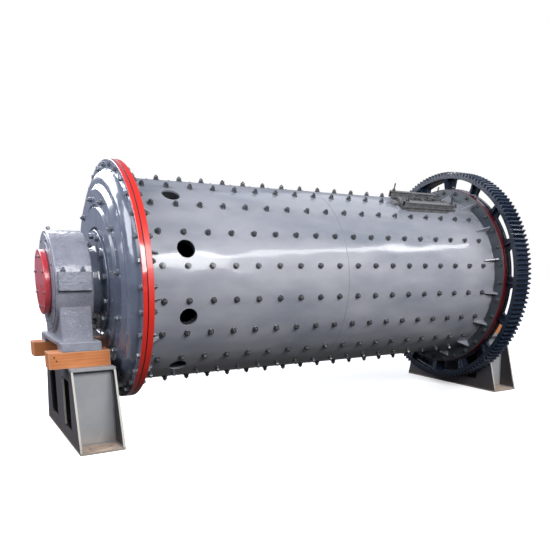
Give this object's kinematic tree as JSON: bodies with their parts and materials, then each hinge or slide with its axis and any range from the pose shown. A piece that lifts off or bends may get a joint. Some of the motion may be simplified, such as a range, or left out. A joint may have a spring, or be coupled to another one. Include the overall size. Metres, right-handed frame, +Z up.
{
  "type": "trunnion-bearing ball mill",
  "caption": "Horizontal ball mill: bolted steel drum with ports, cast heads and a girth gear, turning in two pedestal bearings on welded stands.",
  "frame": {"origin": "on the floor under the middle of the mill's length, midway between the two bearings", "axes": "+X along the mill axis towards the girth gear, +Y to the back, +Z up"},
  "size_m": [6.236, 2.96, 3.0798],
  "materials": {
    "shell_paint": "glossy grey enamel over rolled plate",
    "lining_steel": "dark cast manganese steel",
    "red_paint": "bright red enamel",
    "head_paint": "dark blue-grey enamel over cast steel",
    "gear_black": "black paint and oil over cast steel",
    "bearing_paint": "grey enamel over rough cast iron",
    "bush_bronze": "machined bronze",
    "packing_timber": "sawn orange-brown hardwood",
    "stand_paint": "satin grey enamel over welded plate",
    "dusty_base": "grey paint under brown dust"
  },
  "bodies": {
    "frame": {"gear_end_back_packing_block": "packing_timber", "gear_end_bearing_bush": "bush_bronze", "gear_end_bearing_cap": "bearing_paint", "gear_end_bearing_housing": "bearing_paint", "gear_end_front_packing_block": "packing_timber", "gear_end_inner_seal_ring": "bearing_paint", "gear_end_outer_seal_ring": "bearing_paint", "gear_end_stand_base_plate": "dusty_base", "gear_end_stand_end_webs": "stand_paint", "gear_end_stand_inner_plate": "stand_paint", "gear_end_stand_middle_web": "stand_paint", "gear_end_stand_outer_plate": "stand_paint", "gear_end_stand_top_plate": "stand_paint", "plain_end_back_packing_block": "packing_timber", "plain_end_bearing_bush": "bush_bronze", "plain_end_bearing_cap": "bearing_paint", "plain_end_bearing_housing": "bearing_paint", "plain_end_front_packing_block": "packing_timber", "plain_end_inner_seal_ring": "bearing_paint", "plain_end_outer_seal_ring": "bearing_paint", "plain_end_stand_base_plate": "dusty_base", "plain_end_stand_end_webs": "stand_paint", "plain_end_stand_inner_plate": "stand_paint", "plain_end_stand_middle_web": "stand_paint", "plain_end_stand_outer_plate": "stand_paint", "plain_end_stand_top_plate": "stand_paint"},
    "drum": {"gear_end_course": "shell_paint", "gear_end_gussets": "shell_paint", "gear_end_head": "head_paint", "gear_end_lining": "lining_steel", "gear_end_shell_flange": "red_paint", "gear_end_trunnion": "head_paint", "gear_end_trunnion_cover": "red_paint", "girth_gear_back_half": "gear_black", "girth_gear_front_half": "gear_black", "manhole_clamp_bars": "shell_paint", "manhole_cover": "shell_paint", "manhole_frame": "shell_paint", "plain_end_course": "shell_paint", "plain_end_gussets": "shell_paint", "plain_end_head": "head_paint", "plain_end_lining": "lining_steel", "plain_end_shell_flange": "red_paint", "plain_end_trunnion": "head_paint", "plain_end_trunnion_cover": "red_paint"}
  },
  "joints": [
    {"name": "drum_turn", "type": "hinge", "parent": "frame", "child": "drum", "pos_m": [0, 0, 1.6], "axis": [1, 0, 0], "continuous": true}
  ]
}
